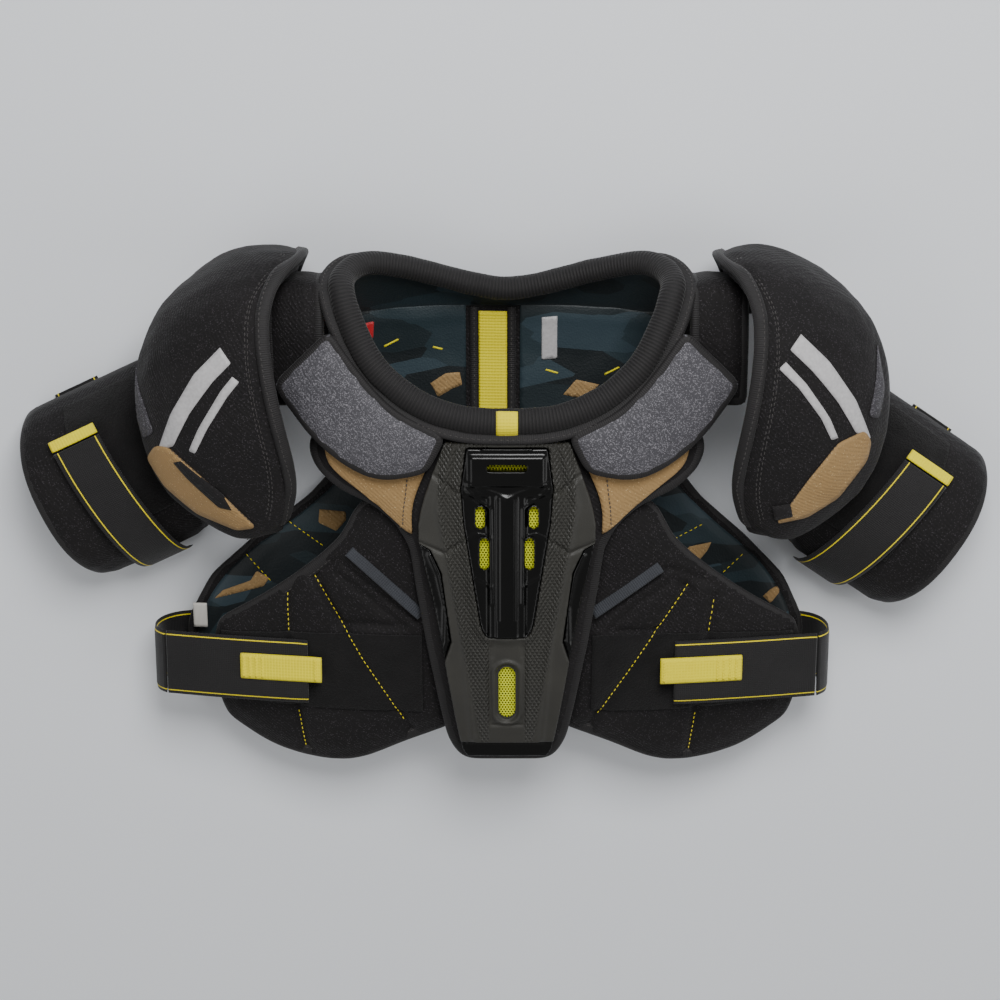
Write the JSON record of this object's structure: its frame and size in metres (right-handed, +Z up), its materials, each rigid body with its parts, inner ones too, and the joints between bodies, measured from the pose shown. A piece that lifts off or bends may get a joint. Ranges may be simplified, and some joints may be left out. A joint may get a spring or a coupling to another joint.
{
  "type": "hockey shoulder pads",
  "caption": "Padded ice hockey shoulder pads lying on their back: foam chest and back, moulded sternum plate, shoulder caps, bicep guards and elastic straps.",
  "frame": {"origin": "middle of the spine plate's flat underside, on which the pads lie", "axes": "+Z up out of the chest, +Y towards the head, +X towards the wearer's left"},
  "size_m": [0.7575, 0.4135, 0.143],
  "materials": {
    "black_fabric": "knitted polyester over foam, with a fine glint",
    "grey_fabric": "knitted polyester with a metallic thread",
    "tan_fabric": "tan knitted polyester over foam",
    "liner_print": "smooth printed lining",
    "yellow_web": "woven yellow webbing",
    "black_web": "black elastic webbing",
    "loop_pile": "brushed loop pile",
    "moulded_grey": "moulded foam with a fine texture",
    "gloss_black": "gloss moulding",
    "vent_mesh": "yellow spacer mesh",
    "white_label": "woven label"
  },
  "bodies": {
    "back": {"spine_plate": "gloss_black", "back_panel": "black_fabric", "spine_ribbon": "yellow_web", "rear_collar": "black_fabric", "care_label": "white_label", "right_back_liner": "liner_print", "right_strap_anchor": "black_web", "left_back_liner": "liner_print", "left_strap_anchor": "black_web"},
    "front": {"chest_body": "black_fabric", "sternum_plate": "moulded_grey", "vent_mesh": "vent_mesh", "sternum_insert": "gloss_black", "right_plate_trim": "gloss_black", "left_plate_trim": "gloss_black", "name_tab": "gloss_black", "front_collar": "black_fabric", "collar_tab": "yellow_web", "right_pec_panel": "tan_fabric", "right_rib_flap": "black_fabric", "right_rib_pile": "loop_pile", "right_yoke": "black_fabric", "left_pec_panel": "tan_fabric", "left_rib_flap": "black_fabric", "left_rib_pile": "loop_pile", "left_yoke": "black_fabric"},
    "right_clavicle": {"right_clavicle_pad": "grey_fabric"},
    "right_cap": {"right_cap_shell": "black_fabric", "right_cap_inlay": "tan_fabric"},
    "right_bicep": {"right_bicep_guard": "black_fabric", "right_bicep_pile": "loop_pile", "right_bicep_strap_root": "black_web"},
    "right_bicep_strap_end": {"right_bicep_strap": "black_web", "right_bicep_strap_tip": "yellow_web"},
    "right_strap_end": {"right_torso_strap": "black_web", "right_strap_tab": "yellow_web"},
    "left_clavicle": {"left_clavicle_pad": "grey_fabric"},
    "left_cap": {"left_cap_shell": "black_fabric", "left_cap_inlay": "tan_fabric"},
    "left_bicep": {"left_bicep_guard": "black_fabric", "left_bicep_pile": "loop_pile", "left_bicep_strap_root": "black_web"},
    "left_bicep_strap_end": {"left_bicep_strap": "black_web", "left_bicep_strap_tip": "yellow_web"},
    "left_strap_end": {"left_torso_strap": "black_web", "left_strap_tab": "yellow_web"}
  },
  "joints": [
    {"name": "front_open", "type": "hinge", "parent": "back", "child": "front", "pos_m": [0, 0.19, 0.06], "axis": [-1, 0, 0], "range_deg": [0, 20]},
    {"name": "right_cap_swing", "type": "hinge", "parent": "front", "child": "right_cap", "pos_m": [-0.15, 0.19, 0.08], "axis": [0, 0, -1], "range_deg": [0, 25]},
    {"name": "right_bicep_swing", "type": "hinge", "parent": "right_cap", "child": "right_bicep", "pos_m": [-0.2, 0.07, 0.04], "axis": [0, 0, -1], "range_deg": [-4, 15]},
    {"name": "right_clavicle_lift", "type": "hinge", "parent": "front", "child": "right_clavicle", "pos_m": [-0.088, 0.111, 0.1245], "axis": [-0.7412, 0.6713, 0], "range_deg": [0, 10]},
    {"name": "right_strap_peel", "type": "hinge", "parent": "front", "child": "right_strap_end", "pos_m": [-0.268, -0.125, 0.0575], "axis": [0, -1, 0], "range_deg": [0, 120]},
    {"name": "right_bicep_strap_peel", "type": "hinge", "parent": "right_bicep", "child": "right_bicep_strap_end", "pos_m": [-0.2761, -0.0532, 0.01], "axis": [0.9063, 0.4226, 0], "range_deg": [0, 52]},
    {"name": "left_cap_swing", "type": "hinge", "parent": "front", "child": "left_cap", "pos_m": [0.159, 0.19, 0.08], "axis": [0, 0, 1], "range_deg": [0, 25]},
    {"name": "left_bicep_swing", "type": "hinge", "parent": "left_cap", "child": "left_bicep", "pos_m": [0.202, 0.063, 0.04], "axis": [0, 0, 1], "range_deg": [-4, 15]},
    {"name": "left_clavicle_lift", "type": "hinge", "parent": "front", "child": "left_clavicle", "pos_m": [0.088, 0.111, 0.1245], "axis": [-0.7412, -0.6713, 0], "range_deg": [0, 10]},
    {"name": "left_strap_peel", "type": "hinge", "parent": "front", "child": "left_strap_end", "pos_m": [0.243, -0.125, 0.0635], "axis": [0, 1, 0], "range_deg": [0, 120]},
    {"name": "left_bicep_strap_peel", "type": "hinge", "parent": "left_bicep", "child": "left_bicep_strap_end", "pos_m": [0.2521, -0.0667, 0.01], "axis": [0.829, -0.5592, 0], "range_deg": [0, 52]}
  ]
}
